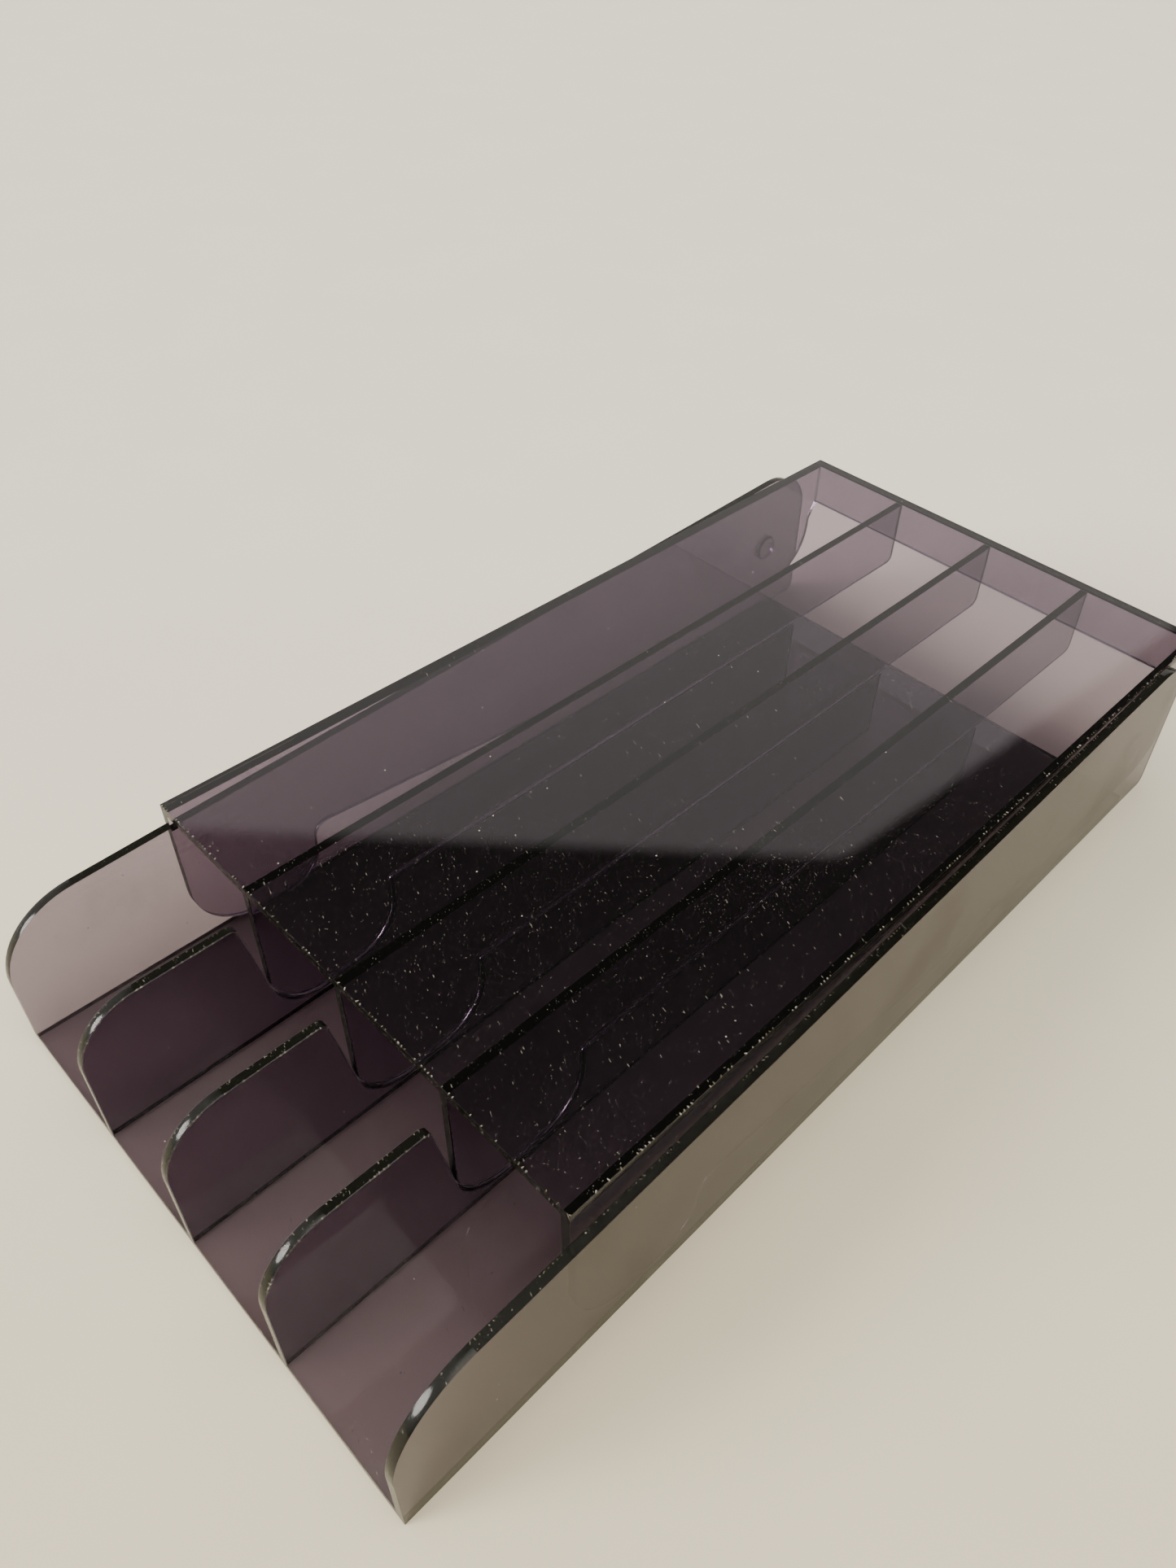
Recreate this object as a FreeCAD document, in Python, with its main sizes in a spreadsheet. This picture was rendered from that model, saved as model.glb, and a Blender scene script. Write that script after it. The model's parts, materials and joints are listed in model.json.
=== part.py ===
import FreeCAD, Part
import os
import Sketcher

# Smoked acrylic organiser box: an open-fronted base with three dividers, and a hinged lid
# with matching dividers. Every panel is cut from one thickness of sheet and cemented edge
# to face. Sizes are counted from the base's front left bottom corner; the finished box
# stands with its middle over the origin. X runs across it, Y from front to rear, Z up.

doc = FreeCAD.newDocument("acrylic_organiser")

# ---------------------------------------------------------------- driving dimensions, mm
SIZES = [
    ("sheet", 3.0, "thickness of every acrylic panel"),
    ("base_width", 182.0, "outside width over the base walls"),
    ("wall_length", 354.0, "length of a base wall"),
    ("wall_front_height", 49.6, "height of a base wall's top line at the front"),
    ("wall_rear_height", 64.0, "height of a base wall's top line at the rear"),
    ("wall_front_round", 25.5, "radius of a base wall's front top corner"),
    ("wall_rear_round", 20.0, "radius of a base wall's rear top corner"),
    ("wall_foot_round", 3.0, "radius of a base wall's rear bottom corner"),
    ("plate_length", 337.0, "length of the base plate"),
    ("divider_length", 296.0, "length of a base divider"),
    ("divider_height", 32.4, "top of a base divider behind the finger slot"),
    ("bump_height", 51.4, "top of a base divider's front lobe"),
    ("bump_round", 19.0, "radius of the lobe's front top corner"),
    ("bump_rear", 48.6, "rear end of the lobe's flat top"),
    ("bump_rear_round", 2.6, "radius of the lobe's rear top corner"),
    ("slot_draft", 8.0, "how far the slot's front side leans in towards its floor"),
    ("slot_floor", 5.4, "height of the slot's floor above the table"),
    ("slot_front_round", 16.0, "radius at the foot of the slot's leaning side"),
    ("slot_rear", 99.2, "upright rear side of the slot"),
    ("slot_rear_round", 18.2, "radius at the foot of the slot's upright side"),
    ("slot_lip_round", 1.4, "radius where the slot meets the long top edge"),
    ("lid_top", 63.0, "top face of the lid above the table"),
    ("lid_front", 54.0, "front edge of the lid"),
    ("lid_length", 311.0, "length of the lid's top plate"),
    ("side_gap", 0.4, "running gap between a lid wall and a base wall"),
    ("rest_gap", 0.3, "gap under the closed lid's feet and dividers"),
    ("tab_gap", 1.0, "gap between a lid tab and the slot that it fills"),
    ("tab_front_round", 17.0, "radius of a lid divider tab's front bottom corner"),
    ("tab_rear_round", 17.2, "radius of a lid divider tab's rear bottom corner"),
    ("foot_front_round", 22.5, "radius of a lid wall foot's front bottom corner"),
    ("foot_rear_round", 14.0, "radius of a lid wall foot's rear bottom corner"),
    ("step_round", 5.0, "radius where a lid wall's foot meets its lower edge"),
    ("step_height", 23.6, "height of a lid wall's lower edge just behind its foot"),
    ("belly_y", 206.0, "where a lid wall's lower edge turns level"),
    ("belly_round", 400.0, "radius of that gentle turn"),
    ("heel_y", 338.0, "centre of a lid wall's rounded heel, behind the pivot"),
    ("heel_gap", 0.6, "gap between the swinging heel and the base plate"),
    ("lid_divider_round", 3.4, "radius of a lid divider's rear bottom corner"),
    ("rear_wall_height", 17.6, "height of the lid's rear wall below its plate"),
    ("pivot_y", 329.0, "pivot behind the front of the base"),
    ("pivot_z", 32.8, "pivot above the table"),
    ("peg_diameter", 11.0, "diameter of a pivot peg"),
    ("peg_play", 0.08, "radial running clearance of a peg in its hole"),
    ("peg_proud", 0.8, "how far a peg stands past the lid wall"),
    ("peg_chamfer", 0.7, "chamfer on a peg's free end"),
]
DIVIDER_COUNT = 3

sheet_object = doc.addObject("Spreadsheet::Sheet", "Sizes")
for row, (alias, value, note) in enumerate(SIZES, start=1):
    sheet_object.set(f"A{row}", alias)
    sheet_object.set(f"B{row}", str(value))
    sheet_object.set(f"C{row}", note)
    sheet_object.setAlias(f"B{row}", alias)
doc.recompute()


def named(text):
    """Turn words such as [sheet] into references to the sheet's cells."""
    return text.replace("[", "Sizes.").replace("]", "")


def value_of(text):
    """The present value of an expression in the sheet's words."""
    return float(sheet_object.evalExpression(named(text)))


# ---------------------------------------------------------------- places that pieces share
MIDDLE_X = "([base_width] / 2)"
MIDDLE_Y = "(([lid_front] + [lid_length]) / 2)"
LID_LEFT = "([sheet] + [side_gap])"
LID_WIDTH = f"([base_width] - 2 * {LID_LEFT})"
LID_UNDERSIDE = "([lid_top] - [sheet])"
LID_REAR_INSIDE = "([lid_front] + [lid_length] - [sheet])"
TAB_REAR = "([slot_rear] - [tab_gap])"
TAB_FOOT = "([slot_floor] + [tab_gap])"
LID_DIVIDER_EDGE = "([divider_height] + [rest_gap])"
FOOT = "([sheet] + [rest_gap])"
HEEL = "([pivot_z] - [sheet] - [heel_gap] - ([heel_y] - [pivot_y]))"
HEEL_REAR = f"([heel_y] + {HEEL})"
HEEL_FOOT = f"([pivot_z] - {HEEL})"
REAR_WALL_FOOT = f"({LID_UNDERSIDE} - [rear_wall_height])"
CHANNEL = f"(({LID_WIDTH} - (2 + {DIVIDER_COUNT}) * [sheet]) / ({DIVIDER_COUNT} + 1))"


def divider_left(number):
    """Left face of divider 1, 2 or 3: the dividers split the lid's inside evenly."""
    return f"({LID_LEFT} + [sheet] + {number} * {CHANNEL} + ({number} - 1) * [sheet])"


def place(item, at_x, at_y="0", at_z="0"):
    """Set a piece at its place, counted from the base's corner, in the centred frame."""
    item.setExpression("Placement.Base.x", named(f"{at_x} - {MIDDLE_X}"))
    item.setExpression("Placement.Base.y", named(f"{at_y} - {MIDDLE_Y}"))
    item.setExpression("Placement.Base.z", named(at_z))
    doc.recompute()


# ---------------------------------------------------------------- tools for flat panels
def origin_plane(body, role):
    """The body's own origin plane with the given role."""
    return next(item for item in body.Origin.OriginFeatures if item.Role == role)


def bind(sketch, constraint, text):
    """Add a constraint whose value follows an expression in the sheet's words."""
    number = sketch.addConstraint(constraint)
    sketch.setExpression(f"Constraints[{number}]", named(text))


def outline_sketch(body, plane, outline):
    """Closed polygon on an origin plane, each corner held by two bound distances."""
    sketch = body.newObject("Sketcher::SketchObject", body.Name + "_outline")
    sketch.AttachmentSupport = [(origin_plane(body, plane), "")]
    sketch.MapMode = "FlatFace"
    corners = [FreeCAD.Vector(value_of(across), value_of(up), 0) for across, up in outline]
    for start, end in zip(corners, corners[1:] + corners[:1]):
        sketch.addGeometry(Part.LineSegment(start, end), False)
    count = len(outline)
    for index in range(count):
        sketch.addConstraint(Sketcher.Constraint("Coincident", index, 2, (index + 1) % count, 1))
    for index, (across, up) in enumerate(outline):
        for kind, text in (("DistanceX", across), ("DistanceY", up)):
            bind(sketch, Sketcher.Constraint(kind, -1, 1, index, 1, value_of(text)), text)
    return sketch


def bend_corner(sketch, index, radius):
    """Turn a shallow corner of an outline into a tangent arc, with the corner still bound."""
    arc = sketch.GeometryCount
    sketch.fillet(index, 1, value_of(radius), True, True)
    bind(sketch, Sketcher.Constraint("Radius", arc, value_of(radius)), radius)


def panel(label, plane, outline, at_x, at_y="0", at_z="0"):
    """A flat panel: its outline padded by the sheet's thickness and set at its place."""
    body = doc.addObject("PartDesign::Body", label)
    body.Label = label
    sketch = outline_sketch(body, plane, [corner[:2] for corner in outline])
    for index, corner in enumerate(outline):
        if len(corner) == 4:
            bend_corner(sketch, index, corner[2])
    pad = body.newObject("PartDesign::Pad", label + "_pad")
    pad.Profile = sketch
    pad.setExpression("Length", named("[sheet]"))
    place(body, at_x, at_y, at_z)
    return body


TOLERANCE = 0.01


def round_corners(body, corners):
    """Round panel corners, each given as its place in the outline's plane and its radius."""
    for number, (across, up, radius) in enumerate(corners, start=1):
        target = FreeCAD.Vector(0, value_of(across), value_of(up))
        names = []
        base = body.Tip
        for index, edge in enumerate(base.Shape.Edges, start=1):
            middle = edge.CenterOfMass
            near = FreeCAD.Vector(0, middle.y, middle.z).distanceToPoint(target) < TOLERANCE
            if near and edge.BoundBox.XLength > TOLERANCE:
                names.append(f"Edge{index}")
        fillet = body.newObject("PartDesign::Fillet", f"{body.Name}_round_{number}")
        fillet.Base = (base, names)
        fillet.setExpression("Radius", named(radius))
        doc.recompute()


def side_panel(label, outline, at_x):
    """An upright panel in the YZ plane, with its corners rounded. A corner may carry a radius,
    and a corner too shallow for a fillet is marked bent: its arc is drawn in the outline."""
    body = panel(label, "YZ_Plane", outline, at_x)
    round_corners(body, [corner for corner in outline if len(corner) == 3])
    return body


# ---------------------------------------------------------------- base
def base_plate():
    """Floor of the base, held between the two walls and shorter than they are."""
    across = ("0", "([base_width] - 2 * [sheet])")
    along = ("0", "[plate_length]")
    outline = [(across[0], along[0]), (across[1], along[0]), (across[1], along[1]), (across[0], along[1])]
    return panel("base_plate", "XY_Plane", outline, "[sheet]")


def base_wall(label, at_x):
    """Base wall whose top line climbs to the rear, with big round front and rear corners."""
    return side_panel(label, [
        ("0", "0"),
        ("[wall_length]", "0", "[wall_foot_round]"),
        ("[wall_length]", "[wall_rear_height]", "[wall_rear_round]"),
        ("0", "[wall_front_height]", "[wall_front_round]"),
    ], at_x)


def base_divider(number):
    """Base divider: a round-shouldered front lobe, a finger slot, then a long low stretch."""
    return side_panel(f"base_divider_{number}", [
        ("0", "[sheet]"),
        ("[divider_length]", "[sheet]"),
        ("[divider_length]", "[divider_height]", "[slot_lip_round]"),
        ("[slot_rear]", "[divider_height]", "[slot_lip_round]"),
        ("[slot_rear]", "[slot_floor]", "[slot_rear_round]"),
        ("([bump_rear] + [slot_draft])", "[slot_floor]", "[slot_front_round]"),
        ("[bump_rear]", "[bump_height]", "[bump_rear_round]"),
        ("0", "[bump_height]", "[bump_round]"),
    ], divider_left(number))


# ---------------------------------------------------------------- lid
def lid_plate():
    """Flat top of the lid, which covers the top edges of all the lid's upright panels."""
    along = ("[lid_front]", "([lid_front] + [lid_length])")
    outline = [("0", along[0]), (LID_WIDTH, along[0]), (LID_WIDTH, along[1]), ("0", along[1])]
    return panel("lid_plate", "XY_Plane", outline, LID_LEFT, "0", LID_UNDERSIDE)


def lid_wall(label, at_x):
    """Lid wall: a round foot at the front, a sloping lower edge and a heel around the pivot."""
    return side_panel(label, [
        ("[lid_front]", LID_UNDERSIDE),
        ("[lid_front]", FOOT, "[foot_front_round]"),
        (TAB_REAR, FOOT, "[foot_rear_round]"),
        (TAB_REAR, "[step_height]", "[step_round]"),
        ("[belly_y]", HEEL_FOOT, "[belly_round]", "bent"),
        (HEEL_REAR, HEEL_FOOT, HEEL),
        (HEEL_REAR, "([pivot_z] + [sheet])"),
        (LID_REAR_INSIDE, REAR_WALL_FOOT),
        (LID_REAR_INSIDE, LID_UNDERSIDE),
    ], at_x)


def lid_divider(number):
    """Lid divider: a front tab that fills the base divider's slot, then a straight lower edge."""
    return side_panel(f"lid_divider_{number}", [
        ("[lid_front]", LID_UNDERSIDE),
        ("[lid_front]", TAB_FOOT, "[tab_front_round]"),
        (TAB_REAR, TAB_FOOT, "[tab_rear_round]"),
        (TAB_REAR, LID_DIVIDER_EDGE, "[slot_lip_round]"),
        (LID_REAR_INSIDE, LID_DIVIDER_EDGE, "[lid_divider_round]"),
        (LID_REAR_INSIDE, LID_UNDERSIDE),
    ], divider_left(number))


def lid_rear_wall():
    """Short wall under the plate's rear edge, across the full width of the lid."""
    across = ("0", LID_WIDTH)
    up = (REAR_WALL_FOOT, LID_UNDERSIDE)
    outline = [(across[0], up[0]), (across[1], up[0]), (across[1], up[1]), (across[0], up[1])]
    return panel("lid_rear_wall", "XZ_Plane", outline, LID_LEFT, f"({LID_REAR_INSIDE} + [sheet])")


# ---------------------------------------------------------------- pivot
PIVOT_HOLE = "([peg_diameter] / 2 + [peg_play])"
QUARTER_TURN = 90


def drill_pivot(body):
    """Pivot hole through a lid wall."""
    sketch = body.newObject("Sketcher::SketchObject", body.Name + "_pivot")
    sketch.AttachmentSupport = [(origin_plane(body, "YZ_Plane"), "")]
    sketch.MapMode = "FlatFace"
    centre = FreeCAD.Vector(value_of("[pivot_y]"), value_of("[pivot_z]"), 0)
    circle = Part.Circle(centre, FreeCAD.Vector(0, 0, 1), value_of(PIVOT_HOLE))
    sketch.addGeometry(circle, False)
    for kind, text in (("DistanceX", "[pivot_y]"), ("DistanceY", "[pivot_z]")):
        bind(sketch, Sketcher.Constraint(kind, -1, 1, 0, 3, value_of(text)), text)
    bind(sketch, Sketcher.Constraint("Radius", 0, value_of(PIVOT_HOLE)), PIVOT_HOLE)
    before = body.Shape.Volume
    hole = body.newObject("PartDesign::Pocket", body.Name + "_pivot_hole")
    hole.Profile = sketch
    hole.Type = "ThroughAll"
    hole.Reversed = True
    doc.recompute()
    if not body.Shape.Volume < before:
        raise RuntimeError(body.Label + ": the pivot hole cut nothing")


def pivot_peg(label, at_x, turn):
    """Acrylic peg cemented to a base wall's inner face, chamfered at its free end."""
    peg = doc.addObject("Part::Cylinder", label + "_rod")
    peg.setExpression("Radius", named("[peg_diameter] / 2"))
    peg.setExpression("Height", named("[side_gap] + [sheet] + [peg_proud]"))
    doc.recompute()
    ends = [index for index, edge in enumerate(peg.Shape.Edges) if edge.Closed]
    rim = max(ends, key=lambda index: peg.Shape.Edges[index].CenterOfMass.z)
    chamfer = doc.addObject("Part::Chamfer", label)
    chamfer.Label = label
    chamfer.Base = peg
    width = value_of("[peg_chamfer]")
    chamfer.Edges = [(rim + 1, width, width)]
    chamfer.Placement.Rotation = FreeCAD.Rotation(FreeCAD.Vector(0, 1, 0), turn)
    place(chamfer, at_x, "[pivot_y]", "[pivot_z]")
    return chamfer


# ---------------------------------------------------------------- assembly
RIGHT_WALL = "([base_width] - [sheet])"
parts = [base_plate(), base_wall("base_wall_left", "0"), base_wall("base_wall_right", RIGHT_WALL)]
parts += [base_divider(number) for number in range(1, DIVIDER_COUNT + 1)]
parts += [pivot_peg("pivot_peg_left", "[sheet]", QUARTER_TURN)]
parts += [pivot_peg("pivot_peg_right", RIGHT_WALL, -QUARTER_TURN)]
parts += [lid_plate(), lid_rear_wall()]
lid_walls = [
    lid_wall("lid_wall_left", LID_LEFT),
    lid_wall("lid_wall_right", f"({LID_LEFT} + {LID_WIDTH} - [sheet])"),
]
for wall in lid_walls:
    drill_pivot(wall)
parts += lid_walls
parts += [lid_divider(number) for number in range(1, DIVIDER_COUNT + 1)]
doc.recompute()

# ---------------------------------------------------------------- checks and files
for item in doc.Objects:
    if "Invalid" in item.State or "Error" in item.State:
        raise RuntimeError(f"{item.Label} failed: {item.State}")
for item in parts:
    if item.Shape.isNull() or not item.Shape.isValid() or len(item.Shape.Solids) != 1:
        raise RuntimeError(f"{item.Label} isn't one valid solid")

os.makedirs("parts", exist_ok=True)
for item in parts:
    item.Shape.exportStep(os.path.join("parts", item.Label + ".step"))
    box = item.Shape.BoundBox
    print(f"{item.Label:18s} x {box.XMin:7.2f} {box.XMax:7.2f}  y {box.YMin:7.2f} {box.YMax:7.2f}"
          f"  z {box.ZMin:6.2f} {box.ZMax:6.2f}  volume {item.Shape.Volume:9.1f}")
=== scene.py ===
# %% [markdown]
# # A smoked acrylic organiser box
#
# The real object is a counter-top box for small goods: an open-fronted base with three
# dividers, and a lid that swings up on two pegs near the rear. Every panel is cut from one
# 3 mm sheet of smoked acrylic and cemented edge to face.
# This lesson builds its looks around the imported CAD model, which is the fixed frame: the
# frame says where each panel is, and nothing here moves it.

# %% Load the frame
import json
import math

import bmesh
import bpy
from mathutils import Matrix, Vector
from mathutils.bvhtree import BVHTree

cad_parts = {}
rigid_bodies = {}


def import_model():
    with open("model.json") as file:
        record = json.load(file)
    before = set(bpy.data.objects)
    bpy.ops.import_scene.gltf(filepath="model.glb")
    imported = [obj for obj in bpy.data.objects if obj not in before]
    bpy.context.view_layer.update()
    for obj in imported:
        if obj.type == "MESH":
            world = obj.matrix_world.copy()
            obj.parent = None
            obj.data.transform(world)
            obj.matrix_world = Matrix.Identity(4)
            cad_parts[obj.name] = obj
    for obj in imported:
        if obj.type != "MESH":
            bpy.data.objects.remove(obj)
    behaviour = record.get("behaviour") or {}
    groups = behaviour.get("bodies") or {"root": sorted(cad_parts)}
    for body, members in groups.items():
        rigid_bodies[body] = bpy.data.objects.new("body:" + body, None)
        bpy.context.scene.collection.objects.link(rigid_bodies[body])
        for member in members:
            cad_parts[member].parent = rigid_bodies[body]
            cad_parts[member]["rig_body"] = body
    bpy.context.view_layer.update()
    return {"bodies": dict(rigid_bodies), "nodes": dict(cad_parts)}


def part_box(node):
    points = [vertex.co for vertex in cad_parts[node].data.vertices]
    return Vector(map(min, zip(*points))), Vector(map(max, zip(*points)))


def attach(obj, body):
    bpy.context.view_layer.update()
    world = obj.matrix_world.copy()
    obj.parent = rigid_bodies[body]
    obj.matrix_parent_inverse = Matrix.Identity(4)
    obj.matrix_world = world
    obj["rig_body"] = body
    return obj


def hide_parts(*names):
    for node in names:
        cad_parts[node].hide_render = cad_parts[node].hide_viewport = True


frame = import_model()
MM = 0.001

# %% [markdown]
# ## Colour and node helpers
#
# Colours are written as the sRGB hex values that a designer would pick, and one function
# turns them into the linear values that shaders work in. A second small function adds a
# shader node with its settings and links, so that each material below reads as a list.

# %% Helpers for colours and nodes
def linear(hex_colour, alpha=1.0):
    """Linear RGBA from an sRGB hex colour such as 8A7F78."""
    channels = [int(hex_colour[start:start + 2], 16) / 255 for start in (0, 2, 4)]
    curved = [c / 12.92 if c <= 0.04045 else ((c + 0.055) / 1.055) ** 2.4 for c in channels]
    return (*curved, alpha)


def add(tree, kind, settings=None, **links):
    """Add a node. Settings are properties or input values, links are input to output socket."""
    made = tree.nodes.new(kind)
    for name, value in (settings or {}).items():
        if isinstance(name, int) or name in made.inputs:
            made.inputs[name].default_value = value
        else:
            setattr(made, name, value)
    for name, source in links.items():
        key = int(name[1:]) if name[0] == "_" else name.replace("_", " ")
        tree.links.new(source, made.inputs[key])
    return made


def maths(tree, operation, *terms):
    """A Math node on two or three terms, each a number or an output socket."""
    made = add(tree, "ShaderNodeMath", {"operation": operation})
    for number, term in enumerate(terms):
        if isinstance(term, (int, float)):
            made.inputs[number].default_value = term
        else:
            tree.links.new(term, made.inputs[number])
    return made.outputs[0]


def ramp(tree, value, low, high, start=0.0, end=1.0):
    """A value that runs smoothly from start to end while its source goes from low to high."""
    settings = {"interpolation_type": "SMOOTHSTEP", "From Min": low, "From Max": high}
    settings.update({"To Min": start, "To Max": end})
    return add(tree, "ShaderNodeMapRange", settings, Value=value).outputs[0]


def mixed(tree, share, first, second):
    """A colour between two, by a share from 0 to 1."""
    settings = {"data_type": "RGBA", 6: first, 7: second}
    return add(tree, "ShaderNodeMix", settings, _0=share).outputs[2]


def new_material(name):
    """An empty node material and its tree."""
    material = bpy.data.materials.new(name)
    material.use_nodes = True
    material.node_tree.nodes.clear()
    return material, material.node_tree


print("helpers ready:", linear.__name__, add.__name__, maths.__name__, ramp.__name__)

# %% [markdown]
# ## Smoked cast acrylic
#
# Acrylic (PMMA) is clear, hard and glossy, with an index of refraction of 1.49. The smoke
# is a dye all through the sheet, so light that travels further comes out darker: one wall
# is a light purple grey, two are darker, and a sheet seen along its width is nearly black.
# A tinted surface can't do that. Volume Absorption can, because it counts the real path.
#
# On top of that come the marks of use and some painted shade: hairline scratches from goods
# that slid over the sheet, specks of dust, a thin olive film on the outside of the base's
# walls that is partly real haze and partly painted shade holding them dark, and the saw's
# cross marks on the sawn edges under a dark matt cover of painted shade. The scratches and
# the dust are drawn a little coarser than real ones, so that they show at this distance.

# %% Wear patterns
SCRATCH_LENGTH = 22 * MM
SCRATCH_WIDTH = 0.42 * MM      # real ones are nearer 0.05 mm
SCRATCH_TURNS = (0.35, 1.25, 2.3)
SCRATCH_LEAN = 0.4             # share of each turn that is also made about the second axis
SCRATCH_LEVELS = (0.80, 0.86)  # noise above these levels is a scratch
DUST_SPACING = 8 * MM
DUST_RADIUS = 0.34 * MM
DUST_CORE = 0.4                # share of the radius that is fully covered
SMUDGE_SIZE = 45 * MM
SMUDGE_LEVELS = (0.50, 0.72)   # noise between these levels goes from clean to smudged
SAW_PITCH = 0.9 * MM           # a fine blade leaves marks nearer 0.3 mm
SAW_STRETCH = 0.05             # marks run straight across the thickness, so they change slowly there


def scaled(tree, place, factors):
    """A place whose three coordinates are each multiplied by a factor."""
    settings = {"operation": "MULTIPLY", 1: factors}
    return add(tree, "ShaderNodeVectorMath", settings, _0=place).outputs[0]


def scratches(tree, place):
    """Sparse hairlines in three directions: noise that is stretched along each of them."""
    stretch = (1 / SCRATCH_LENGTH, 1 / SCRATCH_WIDTH, 1 / SCRATCH_WIDTH)
    total = None
    for turn in SCRATCH_TURNS:
        turned = {"vector_type": "POINT", "Rotation": (turn, SCRATCH_LEAN * turn, turn)}
        laid = add(tree, "ShaderNodeMapping", turned, Vector=place).outputs[0]
        laid = scaled(tree, laid, stretch)
        grain = add(tree, "ShaderNodeTexNoise", {"Scale": 1.0, "Detail": 0.0}, Vector=laid).outputs[0]
        line = ramp(tree, grain, *SCRATCH_LEVELS)
        total = line if total is None else maths(tree, "MAXIMUM", total, line)
    return total


def dust(tree, place):
    """Separate specks: only the centres of large random cells."""
    cells = add(tree, "ShaderNodeTexVoronoi", {"Scale": 1 / DUST_SPACING}, Vector=place)
    rim = DUST_RADIUS / DUST_SPACING
    return ramp(tree, cells.outputs["Distance"], rim, DUST_CORE * rim)


def saw_marks(tree, place, across):
    """Ridges that run across the sheet's thickness and change along its edge."""
    squeeze = [SAW_STRETCH / SAW_PITCH if axis == across else 1 / SAW_PITCH for axis in range(3)]
    laid = scaled(tree, place, squeeze)
    return add(tree, "ShaderNodeTexNoise", {"Scale": 1.0, "Detail": 2.0}, Vector=laid).outputs[0]


print("scratches", SCRATCH_LENGTH / MM, "mm long, dust cells", DUST_SPACING / MM, "mm wide")

# %% Smoked acrylic material
ACRYLIC_IOR = 1.49
CLEAR = (1.0, 1.0, 1.0, 1.0)
SMOKE_PER_METRE = 325.0
SMOKE_TINT = (0.22, 0.08, 0.245, 1.0)
SMUDGE_ROUGHNESS = 0.035       # a smudge dulls the gloss a little
CUT_ROUGHNESS = 0.12           # a sawn edge is satin
ARRIS_ROUGHNESS = 0.30         # a scraped corner is nearly matt
SCRATCH_DEPTH = -0.6           # against a saw mark's height of 1
SHEET_RELIEF = {"Strength": 0.15, "Distance": 0.02 * MM}
# The film's cover: partly a real haze, partly painted shade that holds the walls' outsides dark.
FILM_AND_SHADE_COVER, FILM_AND_SHADE_CLOUD = 0.26, 0.12       # share hidden by the film, and more in smudges
# The sawn edges' cover is a dark matt painted shade that deepens their dark look.
EDGE_SHADE_COVER, SCRATCH_COVER, DUST_COVER = 0.38, 0.20, 0.55
# The film's colour: partly a real haze, partly painted shade.
FILM_AND_PAINTED_SHADE = linear("544D3E")
# The colour of the painted shade on the sawn edges.
EDGE_PAINTED_SHADE = linear("1E1F18")
DUST = linear("D9D3C4")


def matt(tree, colour):
    """A plain matt shader for dust, the partly painted-shade film, and the sawn edges' painted shade."""
    return add(tree, "ShaderNodeBsdfDiffuse", {"Color": colour}).outputs[0]


def laid_over(tree, under, cover, top):
    """One shader laid over another, as far as its cover says."""
    return add(tree, "ShaderNodeMixShader", Fac=cover, _1=under, _2=top).outputs[0]


def smoked_acrylic(across):
    """Smoked PMMA sheet whose thickness runs along one axis: clear gloss with a deep purple
    grey body. The cut, arris, worn and joined attributes tell its kinds of face apart."""
    material, tree = new_material("smoked_cast_acrylic_" + "xyz"[across])
    place = add(tree, "ShaderNodeTexCoord").outputs["Object"]
    mark = {name: add(tree, "ShaderNodeAttribute", {"attribute_name": name}).outputs["Fac"]
            for name in ("cut", "arris", "worn", "joined")}
    cloud = add(tree, "ShaderNodeTexNoise", {"Scale": 1 / SMUDGE_SIZE, "Detail": 3.0}, Vector=place)
    smudge = ramp(tree, cloud.outputs[0], *SMUDGE_LEVELS)
    hairline = scratches(tree, place)
    rough = maths(tree, "MULTIPLY", smudge, SMUDGE_ROUGHNESS)
    rough = maths(tree, "MULTIPLY_ADD", mark["cut"], CUT_ROUGHNESS, rough)
    rough = maths(tree, "MULTIPLY_ADD", mark["arris"], ARRIS_ROUGHNESS, rough)
    ridges = maths(tree, "MULTIPLY", saw_marks(tree, place, across), mark["cut"])
    height = maths(tree, "MULTIPLY_ADD", hairline, SCRATCH_DEPTH, ridges)
    relief = add(tree, "ShaderNodeBump", SHEET_RELIEF, Height=height).outputs[0]
    glassy = {"Base Color": CLEAR, "IOR": ACRYLIC_IOR, "Transmission Weight": 1.0}
    clear = add(tree, "ShaderNodeBsdfPrincipled", glassy, Roughness=rough, Normal=relief).outputs[0]
    # An olive film on the base walls' outsides: partly real haze, partly painted shade holding them dark.
    cloudy = maths(tree, "MULTIPLY_ADD", smudge, FILM_AND_SHADE_CLOUD, FILM_AND_SHADE_COVER)
    filmed_and_shaded = maths(tree, "MULTIPLY", cloudy, mark["worn"])
    # A dark matt cover on the sawn edges: painted shade that deepens their dark look.
    edge_shade = maths(tree, "MULTIPLY", mark["cut"], EDGE_SHADE_COVER)
    scored = maths(tree, "MULTIPLY", hairline, SCRATCH_COVER)
    speck = maths(tree, "MULTIPLY", dust(tree, place), DUST_COVER)
    skin = laid_over(tree, clear, filmed_and_shaded, matt(tree, FILM_AND_PAINTED_SHADE))
    skin = laid_over(tree, skin, edge_shade, matt(tree, EDGE_PAINTED_SHADE))
    skin = laid_over(tree, skin, scored, matt(tree, DUST))
    skin = laid_over(tree, skin, speck, matt(tree, DUST))
    cement = add(tree, "ShaderNodeBsdfTransparent", {"Color": CLEAR}).outputs[0]
    skin = laid_over(tree, skin, mark["joined"], cement)
    smoke = add(tree, "ShaderNodeVolumeAbsorption", {"Color": SMOKE_TINT, "Density": SMOKE_PER_METRE})
    add(tree, "ShaderNodeOutputMaterial", Surface=skin, Volume=smoke.outputs[0])
    return material


sheets = [smoked_acrylic(across) for across in range(3)]
print("sheet materials:", [material.name for material in sheets])

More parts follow.
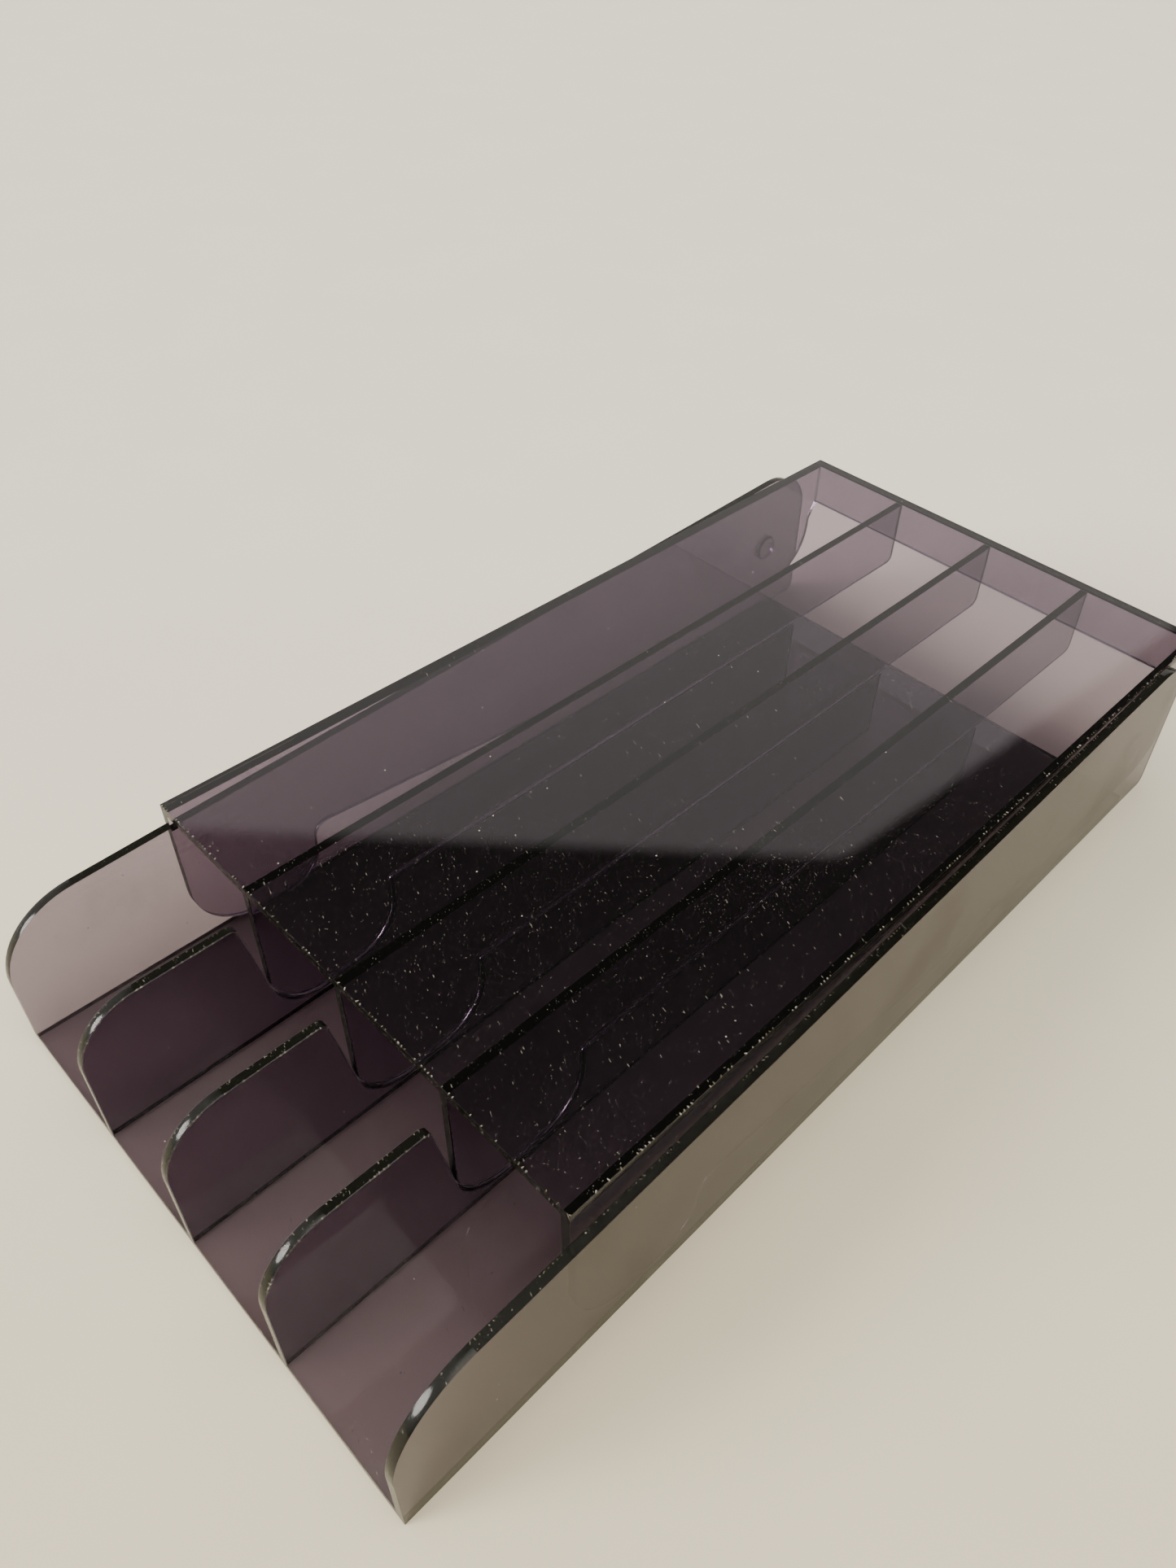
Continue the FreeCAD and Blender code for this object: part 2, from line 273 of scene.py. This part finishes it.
# %% [markdown]
# ## Panels with real edges
#
# A sawn and scraped edge is never perfectly sharp: a narrow arris catches the light all
# round it. Each panel is copied from its CAD node, its loose triangles are merged, it is
# drawn in by a hair so that neighbours don't share one face, and it gets a small bevel.
# Faces that are cemented to a neighbour are found with a search tree and marked joined:
# cement fills the gap, so light passes there without a reflection.

# %% Panel helpers
SKIN = 0.02 * MM               # how far a panel is drawn in
ARRIS = 0.22 * MM              # width of the small bevel
TOUCH = 0.01 * MM              # faces nearer than this touch
SHARP = math.radians(40)       # edges sharper than this get the bevel
NEARLY_FLAT = 0.98             # a sheet face's normal lies at least this much along its thickness
NEARLY_LEVEL = 0.05            # a sawn edge's normal lies less than this much along it
FACING = -0.9                  # two normals that look at each other
OUTWARD = 0.5                  # a normal's share along X on a wall's outside
SAME_SPOT = 0.001 * MM
SAME_PLANE = math.radians(0.5)
rims = {body: [] for body in frame["bodies"]}


def bvh_of(node_name):
    """A search tree of one CAD node's faces."""
    work = bmesh.new()
    work.from_mesh(frame["nodes"][node_name].data)
    tree = BVHTree.FromBMesh(work)
    work.free()
    return tree


def touching(name_a, name_b):
    """The box that two CAD nodes' boxes share, or None if they are apart."""
    (low_a, high_a), (low_b, high_b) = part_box(name_a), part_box(name_b)
    low = Vector(map(max, low_a, low_b))
    high = Vector(map(min, high_a, high_b))
    return None if min(high - low) < -TOUCH else (low, high)


def split_at_joints(work, node_name, mates):
    """Cut a panel's faces along the outline of each neighbour that stands on them."""
    low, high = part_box(node_name)
    for mate in mates:
        for corner in touching(node_name, mate):
            for axis in range(3):
                if low[axis] + TOUCH < corner[axis] < high[axis] - TOUCH:
                    normal = Vector([float(number == axis) for number in range(3)])
                    geometry = work.verts[:] + work.edges[:] + work.faces[:]
                    bmesh.ops.bisect_plane(work, geom=geometry, plane_co=corner, plane_no=normal)


def mark_joined(work, mates):
    """Mark the faces that lie on a neighbour's face, and return the layer."""
    trees = [bvh_of(mate) for mate in mates]
    joined = work.faces.layers.float.new("joined")
    for face in work.faces:
        for tree in trees:
            _, normal, _, gap = tree.find_nearest(face.calc_center_median())
            if gap < TOUCH and normal.dot(face.normal) < FACING:
                face[joined] = 1.0
    return joined


def mark_faces(mesh, node_name, thin):
    """Mark sawn edges, their narrow bevels, and the base walls' outsides, whose film is partly painted
    shade.
    """
    low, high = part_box(node_name)
    side = math.copysign(1, low[0] + high[0])
    outer = node_name.startswith("base_wall")
    for name in ("cut", "arris", "worn"):
        mesh.attributes.new(name, "FLOAT", "FACE")
    for face in mesh.polygons:
        along_thin = abs(face.normal[thin])
        kinds = {
            "cut": along_thin < NEARLY_LEVEL,
            "arris": NEARLY_LEVEL <= along_thin < NEARLY_FLAT,
            # worn marks the walls' outsides, which get the film that is partly painted shade.
            "worn": outer and face.normal[0] * side > OUTWARD,
        }
        for kind, holds in kinds.items():
            mesh.attributes[kind].data[face.index].value = float(holds)


def piece_from(mesh, name, body):
    """An object for a finished mesh that rides on a body."""
    piece = bpy.data.objects.new(name, mesh)
    bpy.context.scene.collection.objects.link(piece)
    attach(piece, body)
    return piece


def baked_mesh(carrier):
    """A plain mesh of an object with its modifiers applied."""
    graph = bpy.context.evaluated_depsgraph_get()
    return bpy.data.meshes.new_from_object(carrier.evaluated_get(graph))


def baked_bevel(mesh, width):
    """The mesh with its weighted edges bevelled."""
    carrier = bpy.data.objects.new("bevel_carrier", mesh)
    bpy.context.scene.collection.objects.link(carrier)
    bevel = carrier.modifiers.new("arris", "BEVEL")
    bevel.width = width
    bevel.segments = 2
    bevel.limit_method = "WEIGHT"
    baked = baked_mesh(carrier)
    bpy.data.objects.remove(carrier)
    return baked


# %% Panels
RIM_DEPTH = 0.62 * MM          # how far inside an edge the chips sit
LOBE_LENGTH = 52 * MM
LOBE_HEIGHT = 12 * MM
WALL_CURVE_START = 14 * MM     # both are measured down from the wall's top
WALL_CURVE_END = 3 * MM


def wears(node_name, spot):
    """Whether an edge at this spot gets knocked: lobe tops, the lid's front and right side,
    and the inner curves of the right base wall."""
    low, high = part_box(node_name)
    if node_name.startswith("base_divider"):
        return spot.z > high.z - LOBE_HEIGHT and spot.y < low.y + LOBE_LENGTH
    if node_name == "lid_plate":
        return spot.y < low.y + MM or spot.x > high.x - MM
    inner = spot.x < (low.x + high.x) / 2
    on_curve = high.z - WALL_CURVE_START < spot.z < high.z - WALL_CURVE_END
    return node_name == "base_wall_right" and inner and on_curve


def panel_piece(node_name):
    """A bevelled copy of one CAD panel, which stands for its node."""
    source = frame["nodes"][node_name]
    body = source["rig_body"]
    mates = [name for name in frame["nodes"] if name != node_name and "peg" not in name
             and frame["nodes"][name]["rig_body"] == body and touching(node_name, name)]
    low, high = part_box(node_name)
    work = bmesh.new()
    work.from_mesh(source.data)
    bmesh.ops.remove_doubles(work, verts=work.verts, dist=SAME_SPOT)
    bmesh.ops.dissolve_limit(work, angle_limit=SAME_PLANE, verts=work.verts, edges=work.edges)
    split_at_joints(work, node_name, mates)
    work.normal_update()
    joined = mark_joined(work, mates)
    weight = work.edges.layers.float.new("bevel_weight_edge")
    for edge in work.edges:
        sharp = len(edge.link_faces) == 2 and edge.calc_face_angle() > SHARP
        free = all(face[joined] < 0.5 for face in edge.link_faces)
        edge[weight] = float(sharp and free)
        if sharp and free and wears(node_name, (edge.verts[0].co + edge.verts[1].co) / 2):
            rims[body].append([vert.co - vert.normal * RIM_DEPTH for vert in edge.verts])
    for vert in work.verts:
        vert.co -= vert.normal * SKIN * vert.calc_shell_factor()
    mesh = bpy.data.meshes.new(node_name + "_sharp")
    work.to_mesh(mesh)
    work.free()
    thin = min(range(3), key=lambda axis: (high - low)[axis])
    mesh.materials.append(sheets[thin])
    baked = baked_bevel(mesh, ARRIS)
    baked.name = "panel_" + node_name
    mark_faces(baked, node_name, thin)
    piece = piece_from(baked, "panel_" + node_name, body)
    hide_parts(node_name)
    return piece


panels = [panel_piece(name) for name in frame["nodes"] if "peg" not in name]
print("panels:", {piece.name: len(piece.data.polygons) for piece in panels})

# %% [markdown]
# ## Pivot pegs
#
# Each peg is a short length of turned and polished acrylic rod, 11 mm across. Its free end
# has a chamfer and faint rings from the lathe, which are modelled as shallow grooves, since
# a ring that catches the light is a shape. Spinning a half outline about the peg's own axis
# makes exactly that.

# %% Acrylic rod material
TURNING_GRAIN = 0.6 * MM
GRAIN_LEVELS = (0.35, 0.75)
TURNED_ROUGHNESS = (0.05, 0.16)
TURNED_RELIEF = {"Strength": 0.2, "Distance": 0.01 * MM}


def turned_acrylic():
    """Turned PMMA rod: as smoked as the sheet, a little duller from the lathe and polish."""
    material, tree = new_material("turned_acrylic_rod")
    place = add(tree, "ShaderNodeTexCoord").outputs["Object"]
    noise = {"Scale": 1 / TURNING_GRAIN, "Detail": 2.0}
    grain = add(tree, "ShaderNodeTexNoise", noise, Vector=place).outputs[0]
    rough = ramp(tree, grain, *GRAIN_LEVELS, *TURNED_ROUGHNESS)
    relief = add(tree, "ShaderNodeBump", TURNED_RELIEF, Height=grain).outputs[0]
    glassy = {"Base Color": CLEAR, "IOR": ACRYLIC_IOR, "Transmission Weight": 1.0}
    clear = add(tree, "ShaderNodeBsdfPrincipled", glassy, Roughness=rough, Normal=relief)
    smoke = add(tree, "ShaderNodeVolumeAbsorption", {"Color": SMOKE_TINT, "Density": SMOKE_PER_METRE})
    add(tree, "ShaderNodeOutputMaterial", Surface=clear.outputs[0], Volume=smoke.outputs[0])
    return material


# %% Peg pieces
PEG_SIDES = 64
RING_PITCH = 0.9 * MM
RING_DEPTH = 0.05 * MM
PEG_CHAMFER = 0.7 * MM
rod = turned_acrylic()


def peg_piece(node_name):
    """A peg spun from its half outline, with its free end towards the box's middle."""
    low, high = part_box(node_name)
    centre = (low + high) / 2
    inward = -math.copysign(1, centre.x)
    wall = high.x if inward < 0 else low.x
    length = high.x - low.x - 2 * SKIN
    radius = (high.z - low.z) / 2 - SKIN
    outline = [(SKIN, 0.0), (SKIN, radius), (length - PEG_CHAMFER, radius), (length, radius - PEG_CHAMFER)]
    rings = int((radius - PEG_CHAMFER) / RING_PITCH)
    for ring in range(rings, 0, -1):
        outline += [(length - RING_DEPTH, (ring - 0.5) * RING_PITCH), (length, (ring - 1) * RING_PITCH)]
    work = bmesh.new()
    rows = []
    for distance, reach in outline:
        count = PEG_SIDES if reach > 0 else 1
        angles = [2 * math.pi * number / PEG_SIDES for number in range(count)]
        rows.append([work.verts.new((wall + inward * distance, centre.y + reach * math.cos(angle),
                                     centre.z + reach * math.sin(angle))) for angle in angles])
    for first, second in zip(rows, rows[1:]):
        for number in range(PEG_SIDES):
            following = (number + 1) % PEG_SIDES
            corners = [first[number % len(first)], first[following % len(first)],
                       second[following % len(second)], second[number % len(second)]]
            work.faces.new(list(dict.fromkeys(corners)))
    bmesh.ops.recalc_face_normals(work, faces=work.faces)
    mesh = bpy.data.meshes.new("peg_" + node_name)
    work.to_mesh(mesh)
    work.free()
    mesh.materials.append(rod)
    piece = piece_from(mesh, "turned_" + node_name, frame["nodes"][node_name]["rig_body"])
    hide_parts(node_name)
    return piece


pegs = [peg_piece(name) for name in frame["nodes"] if "peg" in name]
print("pegs:", {piece.name: len(piece.data.polygons) for piece in pegs})

# %% [markdown]
# ## Edge chips
#
# The exposed edges are nicked where goods and fingers knocked them: bright, crushed flecks
# up to about a millimetre long. They follow the edges and repeat, so a Geometry Nodes tree
# scatters them: it walks along the worn edges, drops most places at random, and puts one
# small faceted fleck, randomly turned and sized, in each place that is left.

# %% Chip material
CRACK_CLOUD = 4 * MM
CRACK_LEVELS = (0.40, 0.62)
CHIP_ROUGHNESS = 0.55
CHIP_GREY = linear("8C8760")
CHIP_WHITE = linear("F4F0DC")


def crushed_acrylic():
    """Crushed PMMA at a nick: a matt, pale olive white, because the cracks scatter light."""
    material, tree = new_material("crushed_acrylic")
    place = add(tree, "ShaderNodeTexCoord").outputs["Object"]
    noise = {"Scale": 1 / CRACK_CLOUD, "Detail": 1.0}
    cloud = add(tree, "ShaderNodeTexNoise", noise, Vector=place).outputs[0]
    colour = mixed(tree, ramp(tree, cloud, *CRACK_LEVELS), CHIP_GREY, CHIP_WHITE)
    gloss = {"IOR": ACRYLIC_IOR, "Roughness": CHIP_ROUGHNESS}
    skin = add(tree, "ShaderNodeBsdfPrincipled", gloss, Base_Color=colour)
    add(tree, "ShaderNodeOutputMaterial", Surface=skin.outputs[0])
    return material


# %% Chip tree
FULL_TURN = 6.28               # in radians
CHIP_INPUTS = (("Spacing", "NodeSocketFloat", 1.3 * MM), ("Kept", "NodeSocketFloat", 0.42),
               ("Smallest", "NodeSocketFloat", 0.20 * MM), ("Largest", "NodeSocketFloat", 0.56 * MM),
               ("Seed", "NodeSocketInt", 7))


def chip_tree(material):
    """Scatter chips along curves: sizes, share kept and seed are named inputs."""
    tree = bpy.data.node_groups.new("edge_chips", "GeometryNodeTree")
    tree.interface.new_socket("Edges", in_out="INPUT", socket_type="NodeSocketGeometry")
    tree.interface.new_socket("Chips", in_out="OUTPUT", socket_type="NodeSocketGeometry")
    for name, kind, _ in CHIP_INPUTS:
        tree.interface.new_socket(name, in_out="INPUT", socket_type=kind)
    source = add(tree, "NodeGroupInput").outputs
    line = add(tree, "GeometryNodeMeshToCurve", Mesh=source["Edges"]).outputs[0]
    spots = add(tree, "GeometryNodeCurveToPoints", {"mode": "LENGTH"}, Curve=line,
                Length=source["Spacing"])
    dropped = maths(tree, "SUBTRACT", 1.0, source["Kept"])
    chance = add(tree, "FunctionNodeRandomValue", {"data_type": "BOOLEAN"}, Probability=dropped,
                 Seed=source["Seed"])
    left = add(tree, "GeometryNodeDeleteGeometry", {"domain": "POINT"}, Geometry=spots.outputs["Points"],
               Selection=chance.outputs[3]).outputs[0]
    fleck = add(tree, "GeometryNodeMeshIcoSphere", {"Radius": 1.0, "Subdivisions": 1}).outputs[0]
    turns = {"data_type": "FLOAT_VECTOR", 1: (FULL_TURN, FULL_TURN, FULL_TURN)}
    spin = add(tree, "FunctionNodeRandomValue", turns, Seed=source["Seed"]).outputs[0]
    small, large = source["Smallest"], source["Largest"]
    low = add(tree, "ShaderNodeCombineXYZ", X=small, Y=small, Z=small)
    high = add(tree, "ShaderNodeCombineXYZ", X=small, Y=large, Z=small)
    size = add(tree, "FunctionNodeRandomValue", {"data_type": "FLOAT_VECTOR"}, _0=low.outputs[0],
               _1=high.outputs[0], Seed=source["Seed"]).outputs[0]
    chips = add(tree, "GeometryNodeInstanceOnPoints", Points=left, Instance=fleck, Rotation=spin, Scale=size)
    solid = add(tree, "GeometryNodeRealizeInstances", Geometry=chips.outputs[0]).outputs[0]
    dressed = add(tree, "GeometryNodeSetMaterial", {"Material": material}, Geometry=solid).outputs[0]
    add(tree, "NodeGroupOutput", Chips=dressed)
    return tree


# %% Chip pieces
SAME_END = 0.005 * MM


def chips_piece(body, segments, tree):
    """Run the chip tree on one body's worn edges and keep the result as a plain mesh."""
    work = bmesh.new()
    for first, second in segments:
        work.edges.new((work.verts.new(first), work.verts.new(second)))
    bmesh.ops.remove_doubles(work, verts=work.verts, dist=SAME_END)
    mesh = bpy.data.meshes.new("worn_edges_" + body)
    work.to_mesh(mesh)
    work.free()
    carrier = bpy.data.objects.new("worn_edges_" + body, mesh)
    bpy.context.scene.collection.objects.link(carrier)
    scatter = carrier.modifiers.new("edge_chips", "NODES")
    scatter.node_group = tree
    items = [item for item in tree.interface.items_tree if item.in_out == "INPUT"]
    sockets = {item.name: item.identifier for item in items}
    for name, _, value in CHIP_INPUTS:
        scatter[sockets[name]] = value
    baked = baked_mesh(carrier)
    bpy.data.objects.remove(carrier)
    return piece_from(baked, "edge_chips_" + body, body)


chip_scatter = chip_tree(crushed_acrylic())
chips = [chips_piece(body, segments, chip_scatter) for body, segments in rims.items() if segments]
print("chips:", {piece.name: len(piece.data.polygons) for piece in chips})

# %% [markdown]
# ## The floor
#
# A plain, pale, matt surface. It has a faint mottle, like card or plaster, and its colour is
# painted a little warmer towards the right: painted warm light from that side of the room.

# %% Floor
FLOOR_REACH = 3.0
FLOOR_DROP = 0.02 * MM
CARD_COOL = linear("EEE8DA")
# Painted warm light: the card's colour towards the right, where warm light from that side falls.
CARD_IN_PAINTED_WARM_LIGHT = linear("E4D9BA")
PAINTED_WARM_LIGHT_WAY = (0.72, -0.69, 0.0)
PAINTED_WARM_START, PAINTED_WARM_END = -0.25, 0.45
MOTTLE_SIZE = 60 * MM
MOTTLE_LEVELS = (0.3, 0.7)
MOTTLE_SHADES = (0.975, 1.0)
CARD_RELIEF = {"Strength": 0.15, "Distance": 0.2 * MM}
CARD_ROUGHNESS = 0.9


def matt_card():
    """Matt painted card, nearly white with a faint mottle, and painted warm light to the right."""
    material, tree = new_material("matt_card")
    place = add(tree, "ShaderNodeTexCoord").outputs["Object"]
    # Painted warm light: the card's colour runs warmer towards the right.
    settings = {"operation": "DOT_PRODUCT", 1: PAINTED_WARM_LIGHT_WAY}
    across = add(tree, "ShaderNodeVectorMath", settings, _0=place).outputs["Value"]
    base = mixed(tree, ramp(tree, across, PAINTED_WARM_START, PAINTED_WARM_END), CARD_COOL, CARD_IN_PAINTED_WARM_LIGHT)
    noise = {"Scale": 1 / MOTTLE_SIZE, "Detail": 5.0}
    cloud = add(tree, "ShaderNodeTexNoise", noise, Vector=place).outputs[0]
    mottle = ramp(tree, cloud, *MOTTLE_LEVELS, *MOTTLE_SHADES)
    colour = add(tree, "ShaderNodeVectorMath", {"operation": "SCALE"}, _0=base, Scale=mottle).outputs[0]
    relief = add(tree, "ShaderNodeBump", CARD_RELIEF, Height=cloud).outputs[0]
    finish = {"Roughness": CARD_ROUGHNESS}
    skin = add(tree, "ShaderNodeBsdfPrincipled", finish, Base_Color=colour, Normal=relief)
    add(tree, "ShaderNodeOutputMaterial", Surface=skin.outputs[0])
    return material


floor_mesh = bpy.data.meshes.new("floor")
signs = ((-1, -1), (1, -1), (1, 1), (-1, 1))
corners = [(x * FLOOR_REACH, y * FLOOR_REACH, -FLOOR_DROP) for x, y in signs]
floor_mesh.from_pydata(corners, [], [(0, 1, 2, 3)])
floor_mesh.materials.append(matt_card())
floor = bpy.data.objects.new("floor", floor_mesh)
bpy.context.scene.collection.objects.link(floor)
print("floor:", 2 * FLOOR_REACH, "m wide")

# %% [markdown]
# ## Light from a studio world
#
# Clear plastic shows what is around it more than it shows itself, so the light is painted
# as soft patches on the world: a dim room, a wide fill at the front left, a big pale
# backdrop behind the box that the lid mirrors, a soft key overhead, and a small bright
# window at the front left that draws the white lines on the rounded edges. Each patch is a
# smooth step on the view direction.

# %% World
world = bpy.data.worlds.new("studio")
bpy.context.scene.world = world
world.use_nodes = True
sky = world.node_tree
sky.nodes.clear()
toward = add(sky, "ShaderNodeTexCoord").outputs["Generated"]


def direction(azimuth, elevation):
    """Unit vector for an azimuth from +Y towards -X and an elevation, both in degrees."""
    turn, lift = math.radians(azimuth), math.radians(elevation)
    return (-math.sin(turn) * math.cos(lift), math.cos(turn) * math.cos(lift), math.sin(lift))


def along(unit):
    """How far the view direction points along a fixed direction."""
    settings = {"operation": "DOT_PRODUCT", 1: unit}
    return add(sky, "ShaderNodeVectorMath", settings, _0=toward).outputs["Value"]


def round_patch(azimuth, elevation, outside, inside):
    """A soft round patch of light: dark past the outside angle, full within the inside one."""
    edges = [math.cos(math.radians(angle)) for angle in (outside, inside)]
    return ramp(sky, along(direction(azimuth, elevation)), *edges)


def lit(patch, strength, colour):
    """The light of one patch: its shape times a strength and a colour."""
    return add(sky, "ShaderNodeVectorMath", {"operation": "SCALE", 0: colour},
               Scale=maths(sky, "MULTIPLY", patch, strength)).outputs[0]


# %% Backdrop patch
BACKDROP_AZIMUTH = 43
BACKDROP_TOP = 1.064           # height of its top edge over its distance
BACKDROP_SIDE = 1.093          # where its slanted right side meets the floor
BACKDROP_SLANT = 0.787         # how far that side leans in for each step up
BACKDROP_SOFT = 0.012          # half the width of its blurred outline

deep = along(direction(BACKDROP_AZIMUTH, 0))
wide = along(direction(BACKDROP_AZIMUTH - 90, 0))
tall = along((0, 0, 1))
under_top = maths(sky, "SUBTRACT", maths(sky, "MULTIPLY", deep, BACKDROP_TOP), tall)
slanted = maths(sky, "MULTIPLY_ADD", tall, BACKDROP_SLANT, wide)
inside_side = maths(sky, "SUBTRACT", maths(sky, "MULTIPLY", deep, BACKDROP_SIDE), slanted)
backdrop = maths(sky, "MULTIPLY", ramp(sky, under_top, -BACKDROP_SOFT, BACKDROP_SOFT),
                 ramp(sky, inside_side, -BACKDROP_SOFT, BACKDROP_SOFT))

# %% Put the lights together
COOL_WHITE = (1.0, 0.945, 0.90)
WARM_WHITE = (1.0, 0.95, 0.83)
ROOM, FILL, BACKDROP, KEY, WINDOW = 0.12, 1.1, 1.0, 4.0, 19.0
EVERYWHERE = 1.0
fill_patch = round_patch(azimuth=140, elevation=34, outside=50, inside=26)
key_patch = round_patch(azimuth=-100, elevation=74, outside=42, inside=8)
window_patch = round_patch(azimuth=150, elevation=25, outside=15, inside=11)
lights = [
    lit(EVERYWHERE, ROOM, WARM_WHITE),
    lit(fill_patch, FILL, COOL_WHITE),
    lit(backdrop, BACKDROP, COOL_WHITE),
    lit(key_patch, KEY, WARM_WHITE),
    lit(window_patch, WINDOW, COOL_WHITE),
]
total = lights[0]
for light in lights[1:]:
    total = add(sky, "ShaderNodeVectorMath", {"operation": "ADD"}, _0=total, _1=light).outputs[0]
glow = add(sky, "ShaderNodeBackground", Color=total)
add(sky, "ShaderNodeOutputWorld", Surface=glow.outputs[0])
print("world patches:", len(lights))

# %% [markdown]
# ## Camera
#
# The camera stands about 315 mm over the table, to the front right, and looks down across
# the box. Its direction comes from three unit vectors: to the right, down, and ahead.

# %% Camera
SENSOR = 36.0
FOCAL_SHARE = 0.76308          # focal length over the image height
NEAR = 10 * MM                 # nothing is closer to the lens than this
SHIFT_RIGHT, SHIFT_UP = -0.046233, -0.033560
STAND = Vector((181.19, -213.75, 314.62)) * MM
RIGHT = Vector((0.719241, 0.693259, 0.045656))
DOWN = Vector((0.481789, -0.450339, -0.751714))
AHEAD = Vector((-0.500572, 0.562661, -0.657907))

camera_data = bpy.data.cameras.new("camera")
camera_data.sensor_width = SENSOR
camera_data.sensor_fit = "AUTO"
camera_data.lens = FOCAL_SHARE * SENSOR
camera_data.shift_x = SHIFT_RIGHT
camera_data.shift_y = SHIFT_UP
camera_data.clip_start = NEAR
camera = bpy.data.objects.new("camera", camera_data)
turned = Matrix((RIGHT, -DOWN, -AHEAD)).transposed().to_4x4()
camera.matrix_world = Matrix.Translation(STAND) @ turned
bpy.context.scene.collection.objects.link(camera)
bpy.context.scene.camera = camera
print("camera lens:", round(camera_data.lens, 2), "mm")
